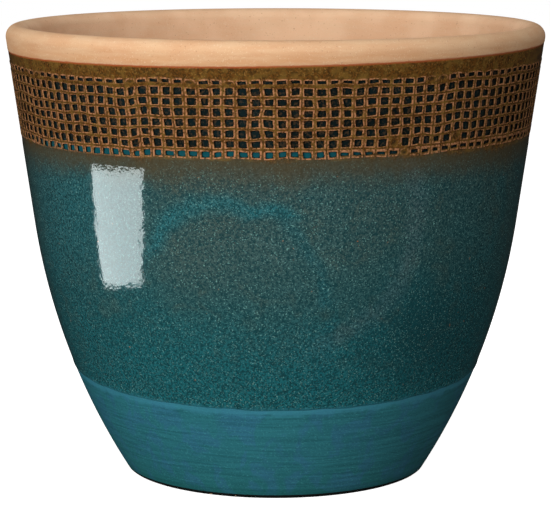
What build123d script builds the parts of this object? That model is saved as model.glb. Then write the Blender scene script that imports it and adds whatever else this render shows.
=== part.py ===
"""Glazed terracotta pot: one fired clay body with four fused coats of glaze.

A conical belly curves out of a narrow foot and runs up as a straight flare to a
round bare lip. Below the lip a band of pressed pits runs round the pot. The dark
glaze pooled in the pits, the amber glaze on the net of ribs between them, the
teal glaze of the belly and the smoother glaze at the foot are separate coats.
The origin is the middle of the foot, on the surface that the pot stands on.
"""
from build123d import *
from math import cos, radians, sin, sqrt, tan
import os

# Driving dimensions, in millimetres and degrees.
rim_diameter = 305.0         # outermost diameter, on the round lip
height = 255.5               # from the foot to the crest of the lip
lip_radius = 6.5             # the lip is a half round, 13 mm thick
flare_angle = 8.0            # slope of the straight upper wall
flare_start = 144.0          # height at which the belly's arc meets the flare
belly_radius = 370.0         # radius of the belly's long arc
floor_height = 14.0          # top of the floor inside
floor_fillet = 15.0          # inside corner between wall and floor
foot_edge = 1.0              # softened edge of the foot
recess_radius = 66.0         # hollow under the floor, inside the foot ring
recess_depth = 3.0
drain_radius = 11.0

# Coats of glaze: how deep each lies in the wall, measured square to it.
net_depth = 1.2              # ribs of the pressed net
pool_depth = 0.4             # glaze pooled behind the windows of the net
belly_depth = 0.8
foot_depth = 0.5
foot_gap = 0.6               # bare clay left between the foot glaze and the ground

# The net of pits.
columns = 138                # pits in one turn
panel_columns = 25           # pits across one pressed panel
full_panels = 5              # the rest of the turn is one narrow filler panel
first_seam = -29.0           # angle of a panel's first edge, from the front
rows = 8
row_pitch = 5.41
first_row = 196.7            # height of the lowest row of pits
pit_width = 4.2
pit_height = 3.4
panel_lifts = (0.0, 0.8, 0.2, -0.7, -0.5, -1.4)   # how far off level each panel sits
seam_width = 0.15            # angle of the hairline seam between two panels
net_low = 188.0              # where the net's glaze gives way to the belly's
pool_low = 192.0
pool_high = 240.0
coat_high = 247.0            # the coats are drawn to here, then cut at the glaze line

# Hand-dipped edges are a little off level: height on the axis, then rise to +X and +Y.
glaze_line = (243.7, 0.016, 0.0073)
dip_line = (61.7, 0.0, 0.054)

# Worked out from the driving dimensions.
flare = radians(flare_angle)
lip_center_radius = rim_diameter / 2 - lip_radius
lip_center_height = height - lip_radius
flare_start_radius = (
    lip_center_radius
    + lip_radius / cos(flare)
    - (lip_center_height - flare_start) * tan(flare)
)
arc_center_radius = flare_start_radius - belly_radius * cos(flare)
arc_center_height = flare_start + belly_radius * sin(flare)
pitch_angle = 360 / columns
wall_depth = 2 * lip_radius


def wall_tangent(depth):
    """Point where arc meets flare, on the wall's curve at a depth under its face."""
    reach = belly_radius - depth
    return arc_center_radius + reach * cos(flare), arc_center_height - reach * sin(flare)


def wall_radius(level, depth=0.0):
    """Radius of the wall's curve at a height and at a depth under its face."""
    tangent_radius, tangent_height = wall_tangent(depth)
    if level >= tangent_height:
        return tangent_radius + (level - tangent_height) * tan(flare)
    reach = belly_radius - depth
    return arc_center_radius + sqrt(reach**2 - (level - arc_center_height) ** 2)


def wall_arc(low, depth=0.0):
    """The belly's arc from a low level up to the flare, inside a BuildLine."""
    top = wall_tangent(depth)
    middle = (low + top[1]) / 2
    return ThreePointArc(
        (wall_radius(low, depth), low), (wall_radius(middle, depth), middle), top
    )


def dip_plane(line):
    """Slightly tilted plane at which a coat of glaze ends."""
    level, rise_x, rise_y = line
    return Plane(origin=(0, 0, level), z_dir=(-rise_x, -rise_y, 1))


def coat(outer_depth, inner_depth, low, high):
    """Ring of glaze between two depths in the wall and two levels."""
    low_plane, high_plane = (
        edge if isinstance(edge, Plane) else Plane.XY.offset(edge) for edge in (low, high)
    )
    with BuildPart() as ring:
        with BuildSketch(Plane.XZ):
            with BuildLine():
                outer = wall_arc(foot_gap, outer_depth)
                outer_top = (wall_radius(coat_high, outer_depth), coat_high)
                inner_top = (wall_radius(coat_high, inner_depth), coat_high)
                Line(outer @ 1, outer_top)
                Line(outer_top, inner_top)
                inner = wall_arc(foot_gap, inner_depth)
                Line(inner_top, inner @ 1)
                Line(inner @ 0, outer @ 0)
            make_face()
        revolve(axis=Axis.Z)
        split(bisect_by=low_plane, keep=Keep.TOP)
        split(bisect_by=high_plane, keep=Keep.BOTTOM)
    return ring.part


def pit_places(count, lift):
    """Places of the pits across a panel that starts at angle zero."""
    places = []
    for column in range(count):
        turn = (column + 0.5) * pitch_angle
        for row in range(rows):
            level = first_row + lift + row * row_pitch
            out = Location((wall_radius(level), 0, level), (0, flare_angle, 0))
            places.append(Location((0, 0, 0), (0, 0, turn)) * out)
    return places


def net_panel(blank, start, count, lift):
    """One pressed panel of the net: a sector of the coat with its windows cut."""
    with BuildPart() as panel:
        with BuildSketch(Plane.XY.offset(net_low - belly_radius / 2)):
            with BuildLine():
                span = count * pitch_angle - seam_width
                arc = CenterArc((0, 0), rim_diameter, seam_width / 2, span)
                Line((0, 0), arc @ 0)
                Line(arc @ 1, (0, 0))
            make_face()
        extrude(amount=2 * belly_radius)
        add(blank.rotate(Axis.Z, -start), mode=Mode.INTERSECT)
        with Locations(*pit_places(count, lift)):
            Box(3 * net_depth, pit_width, pit_height, mode=Mode.SUBTRACT)
    return panel.part.rotate(Axis.Z, start)


# Coats, as whole rings.
glaze_plane = dip_plane(glaze_line)
dip_edge = dip_plane(dip_line)
net_blank = coat(0, net_depth, net_low, glaze_plane)

with BuildPart() as pit_glaze:
    add(coat(net_depth, net_depth + pool_depth, pool_low, pool_high))

with BuildPart() as belly_glaze:
    add(coat(0, belly_depth, dip_edge, net_low))

with BuildPart() as foot_glaze:
    add(coat(0, foot_depth, foot_gap, dip_edge))

# Clay body: wall, lip, floor, foot ring and drain hole, with the coats' seats cut in it.
with BuildPart() as clay_body:
    with BuildSketch(Plane.XZ):
        with BuildLine():
            outer = wall_arc(0)
            lip = CenterArc(
                (lip_center_radius, lip_center_height), lip_radius, -flare_angle, 180
            )
            Line(outer @ 1, lip @ 0)
            inner = wall_arc(floor_height, wall_depth)
            Line(lip @ 1, inner @ 1)
            Polyline(
                inner @ 0,
                (drain_radius, floor_height),
                (drain_radius, recess_depth),
                (recess_radius, recess_depth),
                (recess_radius, 0),
                outer @ 0,
            )
        make_face()
    revolve(axis=Axis.Z)
    floor_corner = (
        clay_body.edges()
        .filter_by(GeomType.CIRCLE)
        .filter_by(lambda edge: abs(edge.arc_center.Z - floor_height) < 1e-6)
        .sort_by(SortBy.RADIUS)[-1]
    )
    fillet(floor_corner, radius=floor_fillet)
    ground_edges = (
        clay_body.edges()
        .filter_by(GeomType.CIRCLE)
        .filter_by(lambda edge: abs(edge.arc_center.Z) < 1e-6)
    )
    fillet(ground_edges, radius=foot_edge)
    for seat in (net_blank, pit_glaze.part, belly_glaze.part, foot_glaze.part):
        add(seat, mode=Mode.SUBTRACT)

# Net of ribs, pressed panel by panel round the band.
filler_columns = columns - full_panels * panel_columns
panels = []
seam = first_seam - 90
for number, lift in enumerate(panel_lifts):
    count = panel_columns if number < full_panels else filler_columns
    panels.append(net_panel(net_blank, seam, count, lift))
    seam += count * pitch_angle

with BuildPart() as net_band:
    add(panels)

os.makedirs("parts", exist_ok=True)
pieces = {
    "clay_body": clay_body,
    "pit_glaze": pit_glaze,
    "net_band": net_band,
    "belly_glaze": belly_glaze,
    "foot_glaze": foot_glaze,
}
for name, piece in pieces.items():
    piece.part.label = name
    export_step(piece.part, f"parts/{name}.step")
    print(name, len(piece.part.solids()), round(piece.part.volume))
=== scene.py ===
"""Glazed terracotta pot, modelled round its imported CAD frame.

The clay body is thrown ring by ring, the net of pits is pressed into its own band, and
each coat of glaze is a skin of its own. Sizes are in metres unless a name says mm.
"""
import math
import random

import bpy
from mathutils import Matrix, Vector, noise


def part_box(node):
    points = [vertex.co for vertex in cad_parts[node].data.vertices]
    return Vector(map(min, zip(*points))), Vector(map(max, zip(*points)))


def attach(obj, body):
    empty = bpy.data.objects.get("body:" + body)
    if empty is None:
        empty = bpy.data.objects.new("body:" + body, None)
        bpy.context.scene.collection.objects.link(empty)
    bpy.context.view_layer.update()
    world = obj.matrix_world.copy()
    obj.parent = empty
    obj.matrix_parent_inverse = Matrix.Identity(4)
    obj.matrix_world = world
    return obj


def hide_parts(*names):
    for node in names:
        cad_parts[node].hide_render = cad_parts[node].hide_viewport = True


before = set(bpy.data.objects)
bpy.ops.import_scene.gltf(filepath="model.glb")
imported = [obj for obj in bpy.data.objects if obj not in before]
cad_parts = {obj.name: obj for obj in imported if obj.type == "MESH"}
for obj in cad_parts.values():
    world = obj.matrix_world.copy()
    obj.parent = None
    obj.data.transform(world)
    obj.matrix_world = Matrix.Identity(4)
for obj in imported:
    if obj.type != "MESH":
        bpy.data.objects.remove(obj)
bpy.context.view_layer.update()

bl_info = {
    "name": "Glazed terracotta pot",
    "version": (1, 0, 0),
    "blender": (4, 5, 0),
    "location": "View3D > Sidebar > Pot",
    "description": "Throws a terracotta pot, presses its net of pits and coats it in glaze",
    "category": "Object",
}

MM = 0.001
BODY = "root"


def linear(code):
    """Linear RGBA of an sRGB hex colour."""
    parts = [int(code[i : i + 2], 16) / 255 for i in (1, 3, 5)]
    return [c / 12.92 if c <= 0.04045 else ((c + 0.055) / 1.055) ** 2.4 for c in parts] + [1]


# ---------------------------------------------------------------- sizes and colours


def length(name, description, value):
    """A size that a user may change, given in millimetres and kept in metres."""
    return bpy.props.FloatProperty(
        name=name, description=description, default=value * MM, precision=5, unit="LENGTH"
    )


def colour(name, description, code):
    """A colour that a user may change, given as an sRGB hex value."""
    return bpy.props.FloatVectorProperty(
        name=name,
        description=description,
        default=linear(code),
        size=4,
        min=0,
        max=1,
        subtype="COLOR",
    )


class PotSizes(bpy.types.PropertyGroup):
    height: bpy.props.FloatProperty(
        name="Height",
        description="From the foot to the crest of the lip",
        default=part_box("clay_body")[1].z,
        unit="LENGTH",
    )
    rim_radius: bpy.props.FloatProperty(
        name="Rim radius",
        description="Outermost radius, on the round lip",
        default=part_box("clay_body")[1].x,
        unit="LENGTH",
    )
    lip_radius: length("Lip radius", "Radius of the half-round lip", 6.5)
    flare_start: length("Flare start", "Height at which the belly's arc meets the flare", 144)
    belly_radius: length("Belly radius", "Radius of the belly's long arc", 370)
    flare: bpy.props.FloatProperty(
        name="Flare",
        description="Slope of the straight upper wall",
        default=math.radians(8),
        subtype="ANGLE",
    )
    floor_height: length("Floor", "Height of the floor inside", 14)
    floor_fillet: length("Floor corner", "Radius of the corner between wall and floor", 15)
    recess_radius: length("Recess radius", "Hollow under the floor, inside the foot ring", 66)
    recess_depth: length("Recess depth", "How deep the underside is hollowed", 3)
    drain_radius: length("Drain radius", "Radius of the drain hole", 11)
    net_low: length("Net coat's lower edge", "Where the net's coat meets the belly's", 188)
    grid_low: length("Lowest row's edge", "Bottom of the lowest row of pits", 194)
    row_pitch: length("Row pitch", "Height from one row of pits to the next", 5.41)
    rib_groove: length("Rib groove", "How far a rib's middle lies under the pits' frames", 0.2)
    net_thickness: length("Net thickness", "Thickness of the net's coat and ribs", 1.25)
    coat_thickness: length("Coat thickness", "Thickness of the belly's glaze", 0.8)
    foot_thickness: length("Foot coat thickness", "Thickness of the foot's glaze", 0.5)
    foot_gap: length("Foot gap", "Bare clay between the foot's glaze and the ground", 0.6)
    columns: bpy.props.IntProperty(
        name="Columns", description="Pits in one turn of the net", default=138, min=12
    )
    rows: bpy.props.IntProperty(name="Rows", description="Rows of pits", default=8, min=1)


class PotColours(bpy.types.PropertyGroup):
    clay: colour("Clay", "Fired clay, in the light", "#BE9068")
    clay_pale: colour("Pale clay", "Clay wiped pale with a sponge", "#CBA783")
    # Paler than the outer clay: partly the inner wall's own pinkish tone, partly painted fill
    # light
    clay_inside_with_painted_fill: colour("Inside clay", "Clay of the inner wall", "#E2BC9A")
    clay_iron: colour("Iron line", "Iron drawn to the edge of the glaze", "#9C4A25")
    amber: colour("Amber glaze", "Thin glaze, brown with iron", "#593815")
    amber_dark: colour("Dark amber glaze", "Same glaze where it lies thicker", "#33230F")
    copper: colour("Copper edge", "Clay showing through glaze at a raised edge", "#A67250")
    pool: colour("Pooled glaze", "Thick glaze in the pits", "#0D1413")
    pool_teal: colour("Teal pool", "Thick glaze in the lowest pits", "#0F4A51")
    teal: colour("Teal glaze", "Belly glaze", "#1E5357")
    teal_grey: colour("Grey teal glaze", "Belly glaze where brown shows through", "#3A4A46")
    teal_pale: colour("Pale speck", "Crystals in the belly glaze", "#7FB0A8")
    foot: colour("Foot glaze", "Brushed coat at the foot", "#286B74")
    foot_blue: colour("Blue cloud", "Blue clouds in the foot coat", "#2E6780")


# ---------------------------------------------------------------- the wall's curve


def wall_tangent(sizes, depth):
    """Radius and height where arc meets flare, on the curve at a depth under the wall's face."""
    centre_radius, centre_height = arc_centre(sizes)
    reach = sizes.belly_radius - depth
    return (
        centre_radius + reach * math.cos(sizes.flare),
        centre_height - reach * math.sin(sizes.flare),
    )


def arc_centre(sizes):
    """Radius and height of the centre of the belly's arc."""
    lip_centre = sizes.rim_radius - sizes.lip_radius
    lip_height = sizes.height - sizes.lip_radius
    start = (
        lip_centre
        + sizes.lip_radius / math.cos(sizes.flare)
        - (lip_height - sizes.flare_start) * math.tan(sizes.flare)
    )
    return (
        start - sizes.belly_radius * math.cos(sizes.flare),
        sizes.flare_start + sizes.belly_radius * math.sin(sizes.flare),
    )


def wall_radius(sizes, level, depth=0.0):
    """Radius of the wall's curve at a height and at a depth under its face."""
    tangent_radius, tangent_height = wall_tangent(sizes, depth)
    if level >= tangent_height:
        return tangent_radius + (level - tangent_height) * math.tan(sizes.flare)
    centre_radius, centre_height = arc_centre(sizes)
    reach = sizes.belly_radius - depth
    return centre_radius + math.sqrt(reach**2 - (level - centre_height) ** 2)


def wall_rings(sizes, low, high, count, depth=0.0):
    """Rings of the wall's curve, evenly spaced from one level to another."""
    levels = [low + (high - low) * i / count for i in range(count + 1)]
    return [(wall_radius(sizes, level, depth), level) for level in levels]


def arc_rings(centre, radius, start, end, count):
    """Rings round a corner: an arc in the wall's section, angles in degrees."""
    angles = [math.radians(start + (end - start) * i / count) for i in range(count + 1)]
    return [
        (centre[0] + radius * math.cos(a), centre[1] + radius * math.sin(a)) for a in angles
    ]


GLAZE_LINE = (243.7, 0.016, 0.0073)   # mm on the axis, rise to +X and to +Y
DIP_LINE = (61.7, 0.0, 0.054)


def line_level(line, x, y):
    """Height of a slightly tilted glaze edge over a point, in metres."""
    return line[0] * MM + line[1] * x + line[2] * y


# ---------------------------------------------------------------- shaping


def throw(name, rings, segments, closed=False):
    """Draws a wall up and round through its rings, as clay is drawn up on a wheel."""
    bpy.ops.object.select_all(action="DESELECT")
    radius, level = rings[0]
    bpy.ops.mesh.primitive_circle_add(
        vertices=segments, radius=radius, location=(0, 0, level)
    )
    piece = bpy.context.object
    piece.name = name
    piece.data.name = name
    bpy.ops.object.transform_apply(location=True, rotation=False, scale=False)
    bpy.ops.object.mode_set(mode="EDIT")
    bpy.ops.mesh.select_mode(type="EDGE")
    bpy.ops.mesh.select_all(action="SELECT")
    for next_radius, next_level in rings[1:]:
        bpy.ops.mesh.extrude_region_move(
            TRANSFORM_OT_translate={"value": (0, 0, next_level - level)}
        )
        factor = next_radius / radius
        bpy.ops.transform.resize(
            value=(factor, factor, 1), center_override=(0, 0, next_level)
        )
        radius, level = next_radius, next_level
    if closed:
        bpy.ops.mesh.select_all(action="SELECT")
        bpy.ops.mesh.remove_doubles(threshold=0.01 * MM)
    bpy.ops.mesh.select_all(action="SELECT")
    bpy.ops.mesh.normals_make_consistent(inside=False)
    bpy.ops.object.mode_set(mode="OBJECT")
    return piece


def move_points(piece, where):
    """Moves each point of a piece by a function of its place."""
    for vertex in piece.data.vertices:
        vertex.co = vertex.co + where(vertex.co)
    piece.data.update()


def up_the_wall(sizes, co, rise):
    """Shift that carries a point along the wall's curve by a rise."""
    spread = wall_radius(sizes, co.z + rise) - wall_radius(sizes, co.z)
    return Vector((co.x, co.y, 0)).normalized() * spread + Vector((0, 0, rise))


def tilt_to(sizes, line, level, reach):
    """Shift that slopes the wall near a level onto a tilted line, fading over a reach."""

    def shift(co):
        near = max(0.0, 1 - abs(co.z - level) / reach)
        return up_the_wall(sizes, co, (line_level(line, co.x, co.y) - level) * near)

    return shift


def undulate(size, depth, seed):
    """Shift square to the wall, by a smooth noise: the hand's unevenness."""
    offset = Vector((seed * 17.3, seed * 5.1, seed * 9.7))

    def shift(co):
        out = Vector((co.x, co.y, 0)).normalized()
        return out * (noise.noise(co / size + offset) - 0.5) * depth

    return shift


def smooth(piece, angle=math.radians(40)):
    """Shades a piece smooth, but for its sharp corners."""
    bpy.ops.object.select_all(action="DESELECT")
    piece.select_set(True)
    bpy.context.view_layer.objects.active = piece
    bpy.ops.object.shade_smooth_by_angle(angle=angle)


def apply_modifier(piece, kind, **settings):
    """Adds a modifier and applies it."""
    bpy.context.view_layer.objects.active = piece
    modifier = piece.modifiers.new(kind.title(), kind)
    for key, value in settings.items():
        setattr(modifier, key, value)
    bpy.ops.object.modifier_apply(modifier=modifier.name)


def finish_piece(piece, material, node):
    """Gives a piece its finish, hides the CAD node that it stands for, and attaches the piece to
    the body.
    """
    piece.data.materials.clear()
    piece.data.materials.append(material)
    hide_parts(node)
    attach(piece, BODY)


# ---------------------------------------------------------------- materials


def add_node(tree, kind, inputs=(), output=0, **settings):
    """Adds a node, sets or links its inputs by place or by name, and gives one output."""
    node = tree.nodes.new("ShaderNode" + kind)
    for key, value in settings.items():
        setattr(node, key, value)
    for key, value in inputs.items() if isinstance(inputs, dict) else enumerate(inputs):
        if isinstance(value, bpy.types.NodeSocket):
            tree.links.new(value, node.inputs[key])
        else:
            node.inputs[key].default_value = value
    return node.outputs[output] if node.outputs else None


EASED = {"interpolation_type": "SMOOTHSTEP"}


def new_material(name):
    """Empty material and its node tree."""
    material = bpy.data.materials.new(name)
    material.use_nodes = True
    material.node_tree.nodes.clear()
    return material, material.node_tree


def place_and_height(tree):
    """Place on the pot, and height over the ground, both in millimetres."""
    metres = add_node(tree, "TexCoord", output="Object")
    place = add_node(tree, "VectorMath", {0: metres, "Scale": 1 / MM}, operation="SCALE")
    return place, add_node(tree, "SeparateXYZ", (place,), output="Z")


def grain(tree, place, size, low, high, top=1.0, detail=2.0, distortion=0.0, stretch=(1, 1, 1)):
    """Noise of a grain size in millimetres, eased from 0 to a top between two of its values."""
    stretched = add_node(tree, "VectorMath", (place, stretch), operation="MULTIPLY")
    look = {"Scale": 1 / size, "Detail": detail, "Roughness": 0.6, "Distortion": distortion}
    cloud = add_node(tree, "TexNoise", {"Vector": stretched, **look})
    return add_node(tree, "MapRange", (cloud, low, high, 0, top), **EASED)


def wander(tree, place, size, reach):
    """Place shifted by a smooth noise, so that a shape drawn there is uneven by hand."""
    look = {"Vector": place, "Scale": 1 / size, "Detail": 2}
    cloud = add_node(tree, "TexNoise", look, output="Color")
    shift = add_node(tree, "VectorMath", (cloud, (0.5, 0.5, 0.5)), operation="SUBTRACT")
    return add_node(tree, "VectorMath", (shift, (reach,) * 3, place), operation="MULTIPLY_ADD")


def lay_over(tree, base, *layers):
    """Lays colours over a base colour, one after another, each through its own mask."""
    for mask, over in layers:
        base = add_node(tree, "Mix", {0: mask, 6: base, 7: over}, output=2, data_type="RGBA")
    return base


def above_line(tree, place, line):
    """Height over a tilted glaze edge, in millimetres."""
    across = (-line[1], -line[2], 1)
    level = add_node(tree, "VectorMath", (place, across), output=1, operation="DOT_PRODUCT")
    return add_node(tree, "Math", (level, line[0]), operation="SUBTRACT")


def from_axis(tree, place):
    """Distance from the pot's axis, in millimetres."""
    flat = add_node(tree, "VectorMath", (place, (1, 1, 0)), operation="MULTIPLY")
    return add_node(tree, "VectorMath", (flat,), output=1, operation="LENGTH")


def wall_depth(tree, place, sizes):
    """Depth under the face of the straight flared wall, in millimetres."""
    slope = math.tan(sizes.flare)
    start = wall_radius(sizes, sizes.flare_start) - slope * sizes.flare_start
    radius = from_axis(tree, place)
    z = add_node(tree, "SeparateXYZ", (place,), output="Z")
    face = add_node(tree, "Math", (z, slope, start / MM), operation="MULTIPLY_ADD")
    gap = add_node(tree, "Math", (face, radius), operation="SUBTRACT")
    return add_node(tree, "Math", (gap, math.cos(sizes.flare)), operation="MULTIPLY")


def close_with_shader(tree, inputs, height, strength, distance):
    """Closes a material with its bump and its shader."""
    bump = {"Height": height, "Strength": strength, "Distance": distance}
    inputs["Normal"] = add_node(tree, "Bump", bump)
    shader = add_node(tree, "BsdfPrincipled", inputs)
    add_node(tree, "OutputMaterial", (shader,))


def bare_terracotta(colours, sizes):
    """Fired earthenware wiped with a sponge: matt, sandy, paler on the crest.

    A thin line of iron red marks where the glaze ends.
    """
    material, tree = new_material("bare_sponged_terracotta")
    place, z = place_and_height(tree)
    depth = wall_depth(tree, place, sizes)
    outside = add_node(tree, "Math", (depth, 3), operation="LESS_THAN")
    over_line = above_line(tree, place, GLAZE_LINE)
    wobble = grain(tree, place, 5, 0.3, 0.7, top=0.25)
    edge = add_node(tree, "Math", (over_line, wobble), operation="SUBTRACT")
    iron = add_node(tree, "MapRange", (edge, 0.0, 0.5, 0.8, 0), **EASED)
    iron = add_node(tree, "Math", (iron, outside), operation="MULTIPLY")
    contact_shadow = foot_contact_shadow(tree, place, z, sizes)
    sponge = grain(tree, place, 3.0, 0.3, 0.75, top=0.3, stretch=(0.12, 0.12, 1))
    crest = add_node(tree, "MapRange", (z, 244, 254, 0, 0.7), **EASED)
    # paler inner wall: partly the clay's pinkish tone, partly painted fill light
    inside = add_node(tree, "MapRange", (depth, 6, 12, 0, 0.8), **EASED)
    warm_patches = grain(tree, place, 28, 0.35, 0.65, top=0.3)
    pale_sand = grain(tree, place, 0.9, 0.6, 0.7, top=0.4)
    dark_sand = grain(tree, place, 1.1, 0.66, 0.72, top=0.45)
    tint = lay_over(
        tree,
        list(colours.clay),
        (crest, list(colours.clay_pale)),
        (inside, list(colours.clay_inside_with_painted_fill)),
        (warm_patches, linear("#B67D54")),
        (sponge, linear("#D2B594")),
        (pale_sand, linear("#D8C4A8")),
        (dark_sand, linear("#8A5A3A")),
        (iron, list(colours.clay_iron)),
        # painted shadow: near-black along the foot's lowest edge, by the ground
        (contact_shadow, linear("#14110E")),
    )
    sand = grain(tree, place, 0.7, 0.2, 0.8, detail=4)
    height = add_node(tree, "Math", (sponge, 1.6, sand), operation="MULTIPLY_ADD")
    finish = {"Base Color": tint, "Roughness": 0.85, "Specular IOR Level": 0.3}
    close_with_shader(tree, finish, height, 0.35, 0.25 * MM)
    return material


def foot_contact_shadow(tree, place, z, sizes):
    """Mask of a painted shadow along the foot's edge, where it meets the ground, broken by small
    nicks.
    """
    foot = wall_radius(sizes, 0) / MM
    edge = add_node(
        tree, "MapRange", (from_axis(tree, place), foot - 1.6, foot - 0.8), **EASED
    )
    low = add_node(tree, "MapRange", (z, 2.4, 2.8, 1, 0))
    nicks = grain(tree, place, 4, 0.68, 0.72)
    contact_shadow = add_node(tree, "Math", (edge, low), operation="MULTIPLY")
    return add_node(tree, "Math", (contact_shadow, nicks), operation="SUBTRACT", use_clamp=True)


def round_mark(tree, place, centre, radius, width, top):
    """Mask of a round stroke, or of a round patch if its radius is nothing, seen level."""
    spot = (centre[0], 0, centre[1])
    reach = add_node(tree, "VectorMath", (place, spot), output=1, operation="DISTANCE")
    off = add_node(tree, "Math", (reach, radius), operation="SUBTRACT")
    off = add_node(tree, "Math", (off,), operation="ABSOLUTE")
    return add_node(tree, "MapRange", (off, 0, width, top, 0), **EASED)


def pouring_marks(tree, place, teal):
    """The front's soft marks: patches, an arch, a leg and a sweep left by the pour, and a dark
    patch of painted shade low on the right.
    """
    y = add_node(tree, "SeparateXYZ", (place,), output="Y")
    front = add_node(tree, "MapRange", (y, -20, -60), **EASED)
    flat = add_node(tree, "VectorMath", (place, (1, 0, 1)), operation="MULTIPLY")
    flat = wander(tree, wander(tree, flat, 30, 10), 5, 5)
    x = add_node(tree, "SeparateXYZ", (flat,), output="X")
    z = add_node(tree, "SeparateXYZ", (flat,), output="Z")
    over_arch = above_line(tree, flat, (161, 0.35, 0))
    over_arch = add_node(tree, "MapRange", (over_arch, 0, 9), **EASED)
    crest = add_node(tree, "MapRange", (z, 159, 164), **EASED)
    right_of_arch = add_node(tree, "MapRange", (x, -8, 2), **EASED)
    right_of_middle = add_node(tree, "MapRange", (x, 10, 34), **EASED)
    marks = (   # limit, centre to the right and up, radius, width, strength, colour
        (front, (-30, 188), 0, 46, 0.45, "#44463A"),
        (front, (-112, 158), 0, 60, 0.55, "#1C6068"),
        (front, (2, 163), 0, 92, 0.42, "#485753"),
        (front, (-45, 138), 0, 36, 0.35, "#4A5048"),
        (right_of_middle, (2, 163), 73, 9, 0.3, "#586C70"),
        (over_arch, (-33, 141), 30, 9, 0.6, "#1C666E"),
        (crest, (0, 157), 11, 7, 0.6, "#1C666E"),
        (right_of_arch, (-62, 100), 90, 6, 0.45, "#1A5860"),
        # painted shade: a dark patch low on the right, away from the key lamp
        (front, (80, 96), 0, 52, 0.6, "#0E2E33"),
        (front, (26, 111), 0, 7, 0.5, "#3E4436"),
    )
    for limit, centre, radius, width, top, tint in marks:
        shown = round_mark(tree, flat, centre, radius, width, top)
        shown = add_node(tree, "Math", (shown, limit), operation="MULTIPLY")
        shown = add_node(tree, "Math", (shown, front), operation="MULTIPLY")
        teal = lay_over(tree, teal, (shown, linear(tint)))
    return teal


def fired_glaze(tree, place, z, colours):
    """Colour of the poured glaze down the wall: amber by the lip, speckled teal below."""
    drift = grain(tree, place, 34, 0.25, 0.75, top=4)
    fray = grain(tree, place, 4, 0.25, 0.75, top=2.5)
    level = add_node(tree, "Math", (z, drift), operation="ADD")
    level = add_node(tree, "Math", (level, fray), operation="ADD")
    upper = add_node(tree, "MapRange", (level, 90, 185, 0, 0.85), **EASED)
    blue_drifts = grain(tree, place, 50, 0.4, 0.66, top=0.35, distortion=0.6)
    brown_drifts = grain(tree, place, 14, 0.5, 0.7, top=0.3, distortion=0.8)
    lower = add_node(tree, "MapRange", (z, 55, 120, 0.7, 0), **EASED)
    teal = lay_over(
        tree,
        list(colours.teal),
        (upper, list(colours.teal_grey)),
        (blue_drifts, linear("#1C5A60")),
        (brown_drifts, linear("#4A4C3C")),
        (lower, linear("#1A6066")),
    )
    teal = pouring_marks(tree, place, teal)
    # The real crystals are finer, and are drawn just coarse enough to show.
    mottle = grain(tree, place, 1.2, 0.4, 0.6, top=0.85, detail=3)
    rust_specks = grain(tree, place, 3.4, 0.735, 0.78, top=0.6)
    pale_crystals = grain(tree, place, 0.8, 0.6, 0.68, top=0.5)
    dark_crystals = grain(tree, place, 0.9, 0.57, 0.65, top=0.6)
    teal = lay_over(
        tree,
        teal,
        (mottle, linear("#123438")),
        (rust_specks, linear("#A06A3E")),
        (pale_crystals, list(colours.teal_pale)),
        (dark_crystals, linear("#0C2629")),
    )
    honey_crystals = grain(tree, place, 1.1, 0.56, 0.68, top=0.5)
    over_line = above_line(tree, place, GLAZE_LINE)
    iron_line = add_node(tree, "MapRange", (over_line, -1.0, -0.2, 0, 0.8))
    amber = lay_over(
        tree,
        list(colours.amber),
        (mottle, list(colours.amber_dark)),
        (honey_crystals, linear("#8E6A34")),
        (iron_line, list(colours.clay_iron)),
    )
    haze = add_node(tree, "MapRange", (level, 178, 197, 0, 0.75), **EASED)
    head = add_node(tree, "MapRange", (level, 195, 201.5), **EASED)
    return lay_over(tree, teal, (haze, linear("#46381F")), (head, amber))


def orange_peel(tree, place):
    """Faint ripple of a fired glaze, which frays the edges of a reflection."""
    coarse = grain(tree, place, 4.6, 0.0, 1.0, detail=2)
    fine = grain(tree, place, 1.0, 0.0, 1.0, top=0.12, detail=1)
    return add_node(tree, "Math", (coarse, fine), operation="ADD")


def speckled_gloss(colours):
    """Poured glaze fired to a mirror gloss over fine crystals, thin along the dip line."""
    material, tree = new_material("speckled_teal_gloss_glaze")
    place, z = place_and_height(tree)
    wobble = grain(tree, place, 3, 0.3, 0.7, top=1.4)
    over_line = add_node(
        tree, "Math", (above_line(tree, place, DIP_LINE), wobble), operation="SUBTRACT"
    )
    thin = add_node(tree, "MapRange", (over_line, -0.8, 1.6, 0.8, 0), **EASED)
    tint = lay_over(tree, fired_glaze(tree, place, z, colours), (thin, linear("#2E6E7A")))
    finish = {"Base Color": tint, "Roughness": 0.06, "IOR": 1.5}
    close_with_shader(tree, finish, orange_peel(tree, place), 0.5, 0.12 * MM)
    return material


def net_glaze(colours, sizes):
    """Iron glaze that breaks copper on the raised frames and lies olive in the grooves."""
    material, tree = new_material("breaking_amber_glaze")
    place, z = place_and_height(tree)
    depth = wall_depth(tree, place, sizes)
    above_strip = add_node(tree, "MapRange", (z, 192.6, 194.2, 0, 1), **EASED)
    below_strip = add_node(tree, "MapRange", (z, 237.0, 238.6, 1, 0), **EASED)
    frames = add_node(tree, "MapRange", (depth, 0.07, 0.16, 0.9, 0), **EASED)
    for limit in (grain(tree, place, 1.3, 0.36, 0.6), above_strip, below_strip):
        frames = add_node(tree, "Math", (frames, limit), operation="MULTIPLY")
    olive = grain(tree, place, 5, 0.4, 0.7, top=0.5)
    olive = add_node(tree, "Math", (olive, above_strip), operation="MULTIPLY")
    window_sides = add_node(tree, "MapRange", (depth, 0.24, 0.45), **EASED)
    tint = lay_over(
        tree,
        fired_glaze(tree, place, z, colours),
        (olive, linear("#6E5424")),
        (frames, list(colours.copper)),
        (window_sides, list(colours.pool)),
    )
    finish = {"Base Color": tint, "Roughness": 0.14, "IOR": 1.5}
    close_with_shader(tree, finish, orange_peel(tree, place), 0.3, 0.12 * MM)
    return material


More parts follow.
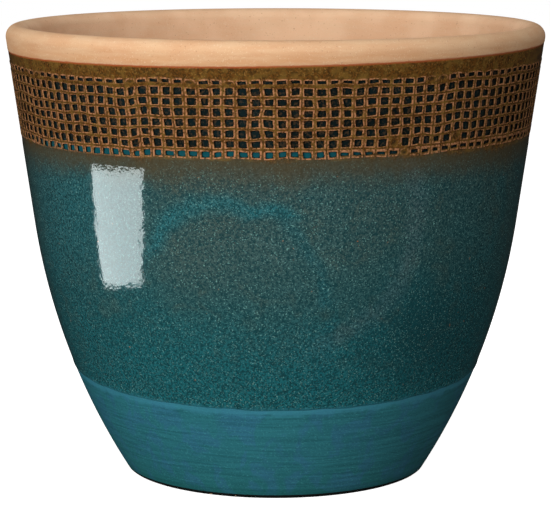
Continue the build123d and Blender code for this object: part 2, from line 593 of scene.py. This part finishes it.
def pooled_gloss(colours):
    """Thick pooled glaze: almost black, teal where it gathers in the lowest row."""
    material, tree = new_material("pooled_black_teal_glaze")
    place, z = place_and_height(tree)
    x = add_node(tree, "SeparateXYZ", (place,), output="X")
    lowest = add_node(tree, "MapRange", (z, 197.5, 200.0, 1, 0), **EASED)
    left = add_node(tree, "MapRange", (x, 20, 80, 0.85, 0), **EASED)
    teal = add_node(tree, "Math", (lowest, left), operation="MULTIPLY")
    # brown flecks over the dark pooled colour
    brown_flecks = grain(tree, place, 1.5, 0.5, 0.64, top=0.6)
    blue_drifts = grain(tree, place, 30, 0.3, 0.6, top=0.3)
    tint = lay_over(
        tree,
        list(colours.pool),
        (brown_flecks, linear("#46321F")),
        (blue_drifts, linear("#152A2C")),
        (teal, list(colours.pool_teal)),
    )
    finish = {"Base Color": tint, "Roughness": 0.12, "IOR": 1.5}
    close_with_shader(tree, finish, orange_peel(tree, place), 0.5, 0.3 * MM)
    return material


def brushed_satin(colours):
    """Thinner coat brushed round on the wheel: satin, in fine level lines."""
    material, tree = new_material("brushed_satin_blue_glaze")
    place, z = place_and_height(tree)
    green_low = add_node(tree, "MapRange", (z, 0, 26, 0.5, 0), **EASED)
    clouds = grain(
        tree, place, 13, 0.47, 0.6, top=0.8, detail=3, distortion=0.8, stretch=(1, 1, 0.45)
    )
    lines = grain(tree, place, 1.3, 0.3, 0.7, detail=4, stretch=(0.04, 0.04, 1))
    streaks = add_node(tree, "Math", (lines, 0.5), operation="MULTIPLY")
    pale_crystals = grain(tree, place, 0.9, 0.56, 0.68, top=0.5)
    dark_crystals = grain(tree, place, 1.1, 0.58, 0.7, top=0.4)
    run = grain(tree, place, 6, 0.2, 0.8, top=3)
    over_line = above_line(tree, place, DIP_LINE)
    fringe = add_node(tree, "Math", (over_line, run), operation="ADD")
    fringe = add_node(tree, "MapRange", (fringe, -3.0, 0.0, 0, 0.55), **EASED)
    foot_shade = add_node(tree, "MapRange", (z, 2, 8, 0.5, 0), **EASED)
    # painted shadow: a near-black line round the coat's lowest edge, by the ground
    ground_shadow_line = add_node(tree, "MapRange", (z, 0.8, 2.2, 0.9, 0), **EASED)
    tint = lay_over(
        tree,
        list(colours.foot),
        (green_low, linear("#1E6460")),
        (clouds, list(colours.foot_blue)),
        (streaks, linear("#10444A")),
        (pale_crystals, linear("#3F8A8E")),
        (dark_crystals, linear("#123E44")),
        (fringe, linear("#357A8C")),
        (foot_shade, linear("#124C48")),
        (ground_shadow_line, linear("#101C1A")),
    )
    finish = {"Base Color": tint, "Roughness": 0.38, "IOR": 1.5}
    close_with_shader(tree, finish, lines, 0.2, 0.15 * MM)
    return material


# ---------------------------------------------------------------- operators

GROOVE = 2.2 * MM   # clay lies this far under the face where the coats cover it
CORNERS = 276       # in one turn of the body and the plain coats: two to a column of pits


class POT_OT_throw_body(bpy.types.Operator):
    """Throw the clay body: wall, round lip, floor, foot ring and drain hole"""

    bl_idname = "pot.throw_body"
    bl_label = "Throw clay body"

    def execute(self, context):
        sizes = context.scene.pot_sizes
        wall = 2 * sizes.lip_radius
        lip_centre = (sizes.rim_radius - sizes.lip_radius, sizes.height - sizes.lip_radius)
        line = GLAZE_LINE[0] * MM
        edge = 1 * MM   # softening of the foot's and the drain hole's edges
        foot = wall_radius(sizes, 0)
        corner = sizes.floor_height + sizes.floor_fillet
        corner_radius = self.corner_centre(sizes, corner, wall)
        rings = [(foot - edge, 0.0), (foot - 0.3 * edge, 0.3 * edge)]
        rings += wall_rings(sizes, edge, 2.2 * MM, 1)
        rings += wall_rings(sizes, 2.6 * MM, line - 1.2 * MM, 34, GROOVE)
        rings += wall_rings(sizes, line - 0.2 * MM, line - 0.1 * MM, 1, 0.35 * MM)
        rings += wall_rings(sizes, line + 0.4 * MM, line + 2 * MM, 1)
        rings += arc_rings(
            lip_centre, sizes.lip_radius, -math.degrees(sizes.flare), 180 - 8, 18
        )
        inner_top = lip_centre[1] - 3 * MM
        rings += wall_rings(sizes, inner_top, corner, 44, wall)
        rings += arc_rings((corner_radius, corner), sizes.floor_fillet, -22, -90, 8)[1:]
        rings += [
            (corner_radius * 0.7, sizes.floor_height),
            (sizes.drain_radius + 9 * MM, sizes.floor_height),
            (sizes.drain_radius + edge, sizes.floor_height),
            (sizes.drain_radius, sizes.floor_height - edge),
            (sizes.drain_radius, sizes.recess_depth + edge),
            (sizes.drain_radius + edge, sizes.recess_depth),
            (sizes.recess_radius - 12 * MM, sizes.recess_depth),
            (sizes.recess_radius - 2 * MM, sizes.recess_depth),
            (sizes.recess_radius, sizes.recess_depth - 1.5 * MM),
            (sizes.recess_radius + edge, 0.0),
            (foot - edge, 0.0),
        ]
        piece = throw("terracotta_body", rings, CORNERS, closed=True)
        move_points(piece, tilt_to(sizes, GLAZE_LINE, line, 5 * MM))
        self.mark_throwing_rings(piece, sizes, wall)
        smooth(piece)
        finish_piece(
            piece,
            bare_terracotta(context.scene.pot_colours, sizes),
            "clay_body",
        )
        return {"FINISHED"}

    def corner_centre(self, sizes, level, wall):
        """Radius of the centre of the fillet between inner wall and floor."""
        return wall_radius(sizes, level, wall) - 0.93 * sizes.floor_fillet

    def mark_throwing_rings(self, piece, sizes, wall):
        """Leaves the faint spiral ridges of the fingers on the inner wall."""
        pitch = 9 * MM
        ridge = 0.12 * MM
        low, high = 32 * MM, sizes.height - 14 * MM

        def shift(co):
            radius = math.hypot(co.x, co.y)
            inner = wall_radius(sizes, co.z, wall)
            if not low <= co.z <= high or radius > inner + MM:
                return Vector()
            turn = math.atan2(co.y, co.x) / math.tau
            wave = math.sin(math.tau * (co.z / pitch + turn))
            return Vector((co.x, co.y, 0)).normalized() * wave * ridge

        move_points(piece, shift)


class POT_OT_press_net(bpy.types.Operator):
    """Press the net of pits in its band, panel by panel"""

    bl_idname = "pot.press_net"
    bl_label = "Press net of pits"

    frame_width = 0.48 * MM   # from a rib's middle to the crest of a pit's frame
    lip_width = 0.24 * MM     # from the crest to the window's edge
    lip_slope = 0.06 * MM     # the frame falls this much towards its window
    plain_depth = 0.18 * MM   # the plain strips lie this far under the frames
    margin = 1.3 * MM         # plain strip between the net and the coat's full depth
    filled_depth = 0.3 * MM   # dent left where glaze filled a window
    slits_from = 30 * MM      # right of this the lowest row's windows are slits
    # Panel edges, in degrees from the front, and how far each panel sits off level.
    seams = (-128.1, -62.9, -29.0, 36.2, 101.4, 166.7)
    lifts = (-0.5 * MM, -1.4 * MM, 0.0, 0.8 * MM, 0.2 * MM, -0.7 * MM)

    def execute(self, context):
        sizes = context.scene.pot_sizes
        grid_high = sizes.grid_low + (sizes.rows - 0.15) * sizes.row_pitch
        line = GLAZE_LINE[0] * MM
        rings = wall_rings(sizes, sizes.net_low, sizes.net_low + 0.1 * MM, 1)
        rings += wall_rings(
            sizes,
            sizes.grid_low - 2 * self.margin,
            sizes.grid_low - self.margin,
            1,
            self.plain_depth,
        )
        rings += [(wall_radius(sizes, sizes.grid_low), sizes.grid_low)]
        rings += wall_rings(
            sizes,
            sizes.grid_low + sizes.row_pitch,
            sizes.grid_low + (sizes.rows - 1) * sizes.row_pitch,
            sizes.rows - 2,
        )
        rings += [(wall_radius(sizes, grid_high), grid_high)]
        rings += wall_rings(
            sizes, grid_high + self.margin, line - 0.4 * MM, 2, self.plain_depth
        )
        rings += [(wall_radius(sizes, line, 0.4 * MM), line)]
        piece = throw("pressed_net", rings, sizes.columns)
        self.press_windows(piece, sizes, grid_high)
        move_points(piece, self.hand_pressed(sizes, grid_high))
        move_points(piece, tilt_to(sizes, GLAZE_LINE, line, 5 * MM))
        apply_modifier(
            piece, "SOLIDIFY", thickness=sizes.net_thickness, offset=-1, use_even_offset=False
        )
        self.hold_edges(piece, sizes, grid_high)
        apply_modifier(piece, "SUBSURF", levels=1, render_levels=1)
        smooth(piece, math.radians(80))
        finish_piece(
            piece, net_glaze(context.scene.pot_colours, sizes), "net_band"
        )
        return {"FINISHED"}

    def press_windows(self, piece, sizes, grid_high):
        """Raises a frame round each cell of the grid and opens its window."""
        top_row = sizes.grid_low + (sizes.rows - 1) * sizes.row_pitch
        self.select_faces(piece, lambda face: sizes.grid_low < face.center.z < grid_high)
        self.edit_faces(
            bpy.ops.mesh.inset,
            thickness=self.frame_width,
            depth=sizes.rib_groove,
            use_individual=True,
        )
        self.flatten_row(piece, top_row, (top_row + grid_high) / 2)
        self.edit_faces(
            bpy.ops.mesh.inset,
            thickness=self.lip_width,
            depth=-self.lip_slope,
            use_individual=True,
        )
        self.open_windows(piece, sizes, top_row)
        sink = -sizes.rib_groove

        def settle(co):
            """Brings the frames back level with the wall, so that the ribs lie in a groove."""
            out = Vector((co.x, co.y, -math.tan(sizes.flare) * math.hypot(co.x, co.y)))
            in_grid = sizes.grid_low - MM < co.z < grid_high + MM
            return out.normalized() * sink if in_grid else Vector()

        move_points(piece, settle)

    def flatten_row(self, piece, low, middle):
        """Makes the selected pits over a level less tall, each by its panel's own amount."""
        mesh = piece.data
        faces = [face for face in mesh.polygons if face.select and face.center.z > low]
        for number in {number for face in faces for number in face.vertices}:
            co = mesh.vertices[number].co
            angle = math.degrees(math.atan2(co.x, -co.y))
            tall = self.top_row_height(angle)
            co.z = middle + (co.z - middle) * tall

    def top_row_height(self, angle):
        """Share of its full height that a pit of the top row has at an angle."""
        if -29.0 < angle < 36.2:
            return 0.62 + 0.3 * max(0.0, angle / 36.2) ** 1.5
        return 0.76 if angle > 0 else 0.66

    def select_faces(self, piece, wanted):
        """Selects only the faces that pass a test."""
        bpy.context.view_layer.objects.active = piece
        bpy.ops.object.mode_set(mode="EDIT")
        bpy.ops.mesh.select_mode(type="FACE")
        bpy.ops.mesh.select_all(action="DESELECT")
        bpy.ops.object.mode_set(mode="OBJECT")
        for face in piece.data.polygons:
            face.select = wanted(face)

    def edit_faces(self, operator, **settings):
        """Runs one edit mode operator on the selected faces."""
        bpy.ops.object.mode_set(mode="EDIT")
        operator(**settings)
        bpy.ops.object.mode_set(mode="OBJECT")

    def open_windows(self, piece, sizes, top_row):
        """Gives each window its own size and opens it, but for those that glaze filled."""
        mesh = piece.data
        draw = random.Random(4)
        bottom_row = sizes.grid_low + sizes.row_pitch
        square = set()   # points of the open windows and of their frames
        frames = set()
        for angle, face in self.in_turn(mesh, sizes):
            middle = face.center.copy()
            wide = draw.uniform(0.76, 0.92)
            tall = draw.uniform(0.86, 1.05)
            by_seam = min(abs(angle - seam) for seam in self.seams) < 1.5
            if by_seam:
                wide *= 0.8
            if middle.z < bottom_row:
                tall *= 0.5 if middle.x > self.slits_from else 0.78
            chance = 0.07 if middle.z > top_row else 0.006
            filled = draw.random() < chance or by_seam and middle.z > top_row
            out = Vector((middle.x, middle.y, 0)).normalized()
            dent = out * -self.filled_depth if filled else Vector()
            for number in face.vertices:
                reach = mesh.vertices[number].co - middle
                reach.x *= wide
                reach.y *= wide
                reach.z *= tall
                mesh.vertices[number].co = middle + reach + dent
            if not filled:
                square.update(face.vertices)
            face.select = not filled
        for edge in mesh.edges:
            if len(square.intersection(edge.vertices)) == 1:
                frames.update(edge.vertices)
        square |= frames
        self.crease(mesh, [vertex.index in square for vertex in mesh.vertices])
        self.edit_faces(bpy.ops.mesh.delete, type="FACE")

    def in_turn(self, mesh, sizes):
        """Selected faces, each with its angle from the front, row by row and round the pot.

        The inset leaves them in an order that differs from run to run.
        """
        places = []
        for face in mesh.polygons:
            if face.select:
                row = int((face.center.z - sizes.grid_low) / sizes.row_pitch)
                angle = math.degrees(math.atan2(face.center.x, -face.center.y))
                places.append((row, angle, face))
        places.sort(key=lambda place: place[:2])
        return [(angle, face) for row, angle, face in places]

    def crease(self, mesh, held):
        """Keeps the held points, and the edges between them, out of the smoothing."""
        points = mesh.vertex_creases_ensure().data
        edges = mesh.edge_creases_ensure().data
        for number, kept in enumerate(held):
            if kept:
                points[number].value = 1.0
        for edge in mesh.edges:
            if all(held[number] for number in edge.vertices):
                edges[edge.index].value = 1.0

    def hold_edges(self, piece, sizes, grid_high):
        """Creases the plain strips, so that smoothing leaves the coat's edges flush."""
        low, high = sizes.grid_low - 0.1 * MM, grid_high + 0.1 * MM
        plain = [not low < vertex.co.z < high for vertex in piece.data.vertices]
        self.crease(piece.data, plain)

    def panel_lift(self, angle):
        """How far off level the net sits at an angle, eased over each seam."""
        ease = 1.6   # degrees to either side
        lift = self.lifts[-1]
        for number, seam in enumerate(self.seams):
            step = min(1.0, max(0.0, 0.5 + (angle - seam) / (2 * ease)))
            lift += (self.lifts[number] - self.lifts[number - 1]) * step
        return lift

    def hand_pressed(self, sizes, grid_high):
        """Shift along the wall: panels off level, pits of uneven size and place."""
        noise.seed_set(4)   # or the vector noise starts from the clock

        def shift(co):
            radius = math.hypot(co.x, co.y)
            along = Vector((-co.y, co.x, 0)) / radius
            near = min(1.0, max(0.0, (co.z - sizes.net_low - 3 * MM) / (3 * MM)))
            near *= min(1.0, max(0.0, (grid_high + 4 * MM - co.z) / (4 * MM)))
            angle = math.degrees(math.atan2(co.x, -co.y))
            coarse = noise.noise_vector(co / (11 * MM))
            fine = noise.noise_vector(co / (3.6 * MM) + Vector((40, 0, 0)))
            side = coarse.x * 0.9 * MM + fine.x * 0.5 * MM
            rise = coarse.z * 0.8 * MM + fine.z * 0.45 * MM + self.panel_lift(angle)
            return along * side * near + up_the_wall(sizes, co, rise * near)

        return shift


class POT_OT_pool_glaze(bpy.types.Operator):
    """Pool the dark glaze in the pits, behind the windows of the net"""

    bl_idname = "pot.pool_glaze"
    bl_label = "Pool glaze in the pits"

    def execute(self, context):
        sizes = context.scene.pot_sizes
        front = 1.05 * MM   # depth under the wall's face, behind the net
        back = 1.65 * MM
        low, high = 190 * MM, 240 * MM
        rings = wall_rings(sizes, low, high, 40, front)
        rings += wall_rings(sizes, high, low, 6, back)
        rings += [rings[0]]
        piece = throw("pooled_pits", rings, 2 * CORNERS, closed=True)
        move_points(piece, undulate(3.4 * MM, 0.25 * MM, 1))
        smooth(piece)
        finish_piece(
            piece, pooled_gloss(context.scene.pot_colours), "pit_glaze"
        )
        return {"FINISHED"}


class POT_OT_pour_belly(bpy.types.Operator):
    """Pour the speckled gloss coat on the belly"""

    bl_idname = "pot.pour_belly"
    bl_label = "Pour belly glaze"

    def execute(self, context):
        sizes = context.scene.pot_sizes
        line = DIP_LINE[0] * MM
        bead = 0.25 * MM   # the coat's edge stands this far out from the wall
        rings = [
            (wall_radius(sizes, line, 0.55 * MM), line),
            (wall_radius(sizes, line + 0.2 * MM, 0.15 * MM), line + 0.2 * MM),
            (wall_radius(sizes, line + 0.7 * MM, -bead), line + 0.7 * MM),
            (wall_radius(sizes, line + 1.6 * MM, -1.1 * bead), line + 1.6 * MM),
            (wall_radius(sizes, line + 3.2 * MM, -0.4 * bead), line + 3.2 * MM),
        ]
        rings += wall_rings(sizes, line + 6 * MM, sizes.net_low, 60)
        rings += wall_rings(sizes, sizes.net_low, line, 20, sizes.coat_thickness + 0.4 * MM)
        rings += [rings[0]]
        piece = throw("belly_coat", rings, CORNERS, closed=True)
        move_points(piece, tilt_to(sizes, DIP_LINE, line, 40 * MM))
        move_points(piece, self.wavy_edge(sizes))
        smooth(piece)
        finish_piece(
            piece, speckled_gloss(context.scene.pot_colours), "belly_glaze"
        )
        return {"FINISHED"}

    def wavy_edge(self, sizes):
        """Lets the coat's lower edge run a little up and down."""

        def shift(co):
            level = line_level(DIP_LINE, co.x, co.y)
            near = max(0.0, 1 - abs(co.z - level) / (14 * MM))
            run = noise.noise(Vector((co.x, co.y, 0)) / (16 * MM)) * 0.9 * MM
            return up_the_wall(sizes, co, run * near)

        return shift


class POT_OT_brush_foot(bpy.types.Operator):
    """Brush the thinner coat on the foot"""

    bl_idname = "pot.brush_foot"
    bl_label = "Brush foot glaze"

    def execute(self, context):
        sizes = context.scene.pot_sizes
        line = DIP_LINE[0] * MM
        low = sizes.foot_gap
        top = line + 2 * MM
        rings = [(wall_radius(sizes, low, 0.3 * MM), low)]
        rings += wall_rings(sizes, low + 0.5 * MM, top, 36)
        rings += wall_rings(sizes, top, low, 10, sizes.foot_thickness + 0.6 * MM)
        rings += [rings[0]]
        piece = throw("foot_coat", rings, CORNERS, closed=True)
        move_points(piece, tilt_to(sizes, DIP_LINE, line, 40 * MM))
        move_points(piece, self.recede)
        smooth(piece)
        finish_piece(
            piece, brushed_satin(context.scene.pot_colours), "foot_glaze"
        )
        return {"FINISHED"}

    def recede(self, co):
        """Draws the coat back under the belly coat's edge."""
        level = line_level(DIP_LINE, co.x, co.y)
        near = min(1.0, max(0.0, (co.z - level + 1.5 * MM) / (2 * MM)))
        return Vector((co.x, co.y, 0)).normalized() * -0.25 * MM * near


def aim(place, target):
    """Rotation that turns a lamp or a camera at a point."""
    return (Vector(target) - Vector(place)).to_track_quat("-Z", "Y").to_euler()


class POT_OT_set_stage(bpy.types.Operator):
    """Set the floor, the lamps and the camera"""

    bl_idname = "pot.set_stage"
    bl_label = "Set stage"

    def execute(self, context):
        self.lay_floor()
        self.light_world()
        self.hang_lamps()
        self.set_camera()
        return {"FINISHED"}

    def lay_floor(self):
        """Plain pale floor, lit evenly, that only darkens under the pot."""
        bpy.ops.object.select_all(action="DESELECT")
        bpy.ops.mesh.primitive_plane_add(size=8)
        floor = bpy.context.object
        floor.name = "floor"
        material, tree = new_material("pale_paper")
        paper = add_node(tree, "BsdfDiffuse", (linear("#F2F2F0"),))
        glow = add_node(tree, "Emission", (linear("#FFFFFF"), 0.86))
        both = add_node(tree, "AddShader", (paper, glow))
        add_node(tree, "OutputMaterial", (both,))
        floor.data.materials.append(material)
        floor.visible_glossy = False
        floor.visible_diffuse = False

    def light_world(self):
        """White studio: bright behind the pot, dark in its reflections."""
        world = bpy.data.worlds.new("studio")
        bpy.context.scene.world = world
        world.use_nodes = True
        tree = world.node_tree
        tree.nodes.clear()
        glossy = add_node(tree, "LightPath", output="Is Glossy Ray")
        seen_by_camera = add_node(tree, "LightPath", output="Is Camera Ray")
        white, soft, dark = [
            add_node(tree, "Background", (linear("#FFFFFF"), strength))
            for strength in (1.0, 0.22, 0.01)
        ]
        around = add_node(tree, "MixShader", (glossy, soft, dark))
        seen = add_node(tree, "MixShader", (seen_by_camera, around, white))
        add_node(tree, "OutputWorld", (seen,))

    def hang_lamps(self):
        """Soft key from the left, weak fills, and one strip that the glaze mirrors."""
        middle = (0, 0, 0.13)
        self.lamp("key", (-0.85, -1.4, 0.4), middle, (0.9, 0.9), 28)
        self.lamp("fill", (-0.1, -1.5, 1.0), middle, (1.2, 0.8), 1)
        self.lamp("right fill", (0.8, -1.3, 1.0), middle, (1.0, 0.8), 9)
        self.lamp("overhead", (-0.25, -0.3, 1.4), middle, (0.9, 0.9), 5.5)
        strip = self.lamp(
            "strip", (-0.2714, -0.1463, 0.0702), (-0.1808, -0.1415, 0.0281), (0.124, 0.1294), 0.45
        )
        strip.rotation_euler.rotate_axis("Z", math.radians(-14))
        strip.data.color = (0.88, 1.0, 1.0)
        strip.visible_glossy = True
        strip.visible_diffuse = False
        mirrors = bpy.data.collections.new("mirrors_of_the_strip")
        mirrors.objects.link(bpy.data.objects["belly_coat"])
        strip.light_linking.receiver_collection = mirrors

    def lamp(self, name, place, target, size, power):
        """Adds one rectangular lamp that lights the pot but isn't mirrored in it."""
        light = bpy.data.lights.new(name, "AREA")
        light.shape = "RECTANGLE"
        light.size, light.size_y = size
        light.energy = power
        lamp = bpy.data.objects.new(name, light)
        lamp.location = place
        lamp.rotation_euler = aim(place, target)
        lamp.visible_camera = False
        lamp.visible_glossy = False
        bpy.context.collection.objects.link(lamp)
        return lamp

    def set_camera(self):
        """Long lens, nine degrees above level, in front of the pot."""
        distance = 1.3837
        pitch = math.radians(9.03)
        middle = 0.123
        data = bpy.data.cameras.new("camera")
        data.lens = 156.8
        data.sensor_width = 36
        camera = bpy.data.objects.new("camera", data)
        camera.location = (
            0,
            -distance * math.cos(pitch),
            middle + distance * math.sin(pitch),
        )
        camera.rotation_euler = (math.pi / 2 - pitch, 0, 0)
        bpy.context.collection.objects.link(camera)
        bpy.context.scene.camera = camera
        bpy.context.scene.view_settings.view_transform = "Standard"


class POT_PT_panel(bpy.types.Panel):
    bl_label = "Glazed pot"
    bl_idname = "POT_PT_panel"
    bl_space_type = "VIEW_3D"
    bl_region_type = "UI"
    bl_category = "Pot"

    def draw(self, context):
        layout = self.layout
        for group in (context.scene.pot_sizes, context.scene.pot_colours):
            box = layout.box()
            for key in group.bl_rna.properties.keys():
                if key not in ("rna_type", "name"):
                    box.prop(group, key)
        for operator in STEPS:
            layout.operator(operator.bl_idname)


STEPS = (
    POT_OT_throw_body,
    POT_OT_pool_glaze,
    POT_OT_press_net,
    POT_OT_pour_belly,
    POT_OT_brush_foot,
    POT_OT_set_stage,
)
CLASSES = (PotSizes, PotColours) + STEPS + (POT_PT_panel,)


def register():
    for item in CLASSES:
        bpy.utils.register_class(item)
    bpy.types.Scene.pot_sizes = bpy.props.PointerProperty(type=PotSizes)
    bpy.types.Scene.pot_colours = bpy.props.PointerProperty(type=PotColours)


def unregister():
    del bpy.types.Scene.pot_colours
    del bpy.types.Scene.pot_sizes
    for item in reversed(CLASSES):
        bpy.utils.unregister_class(item)


def main():
    register()
    bpy.ops.pot.throw_body()
    bpy.ops.pot.pool_glaze()
    bpy.ops.pot.press_net()
    bpy.ops.pot.pour_belly()
    bpy.ops.pot.brush_foot()
    bpy.ops.pot.set_stage()


if __name__ == "__main__":
    main()
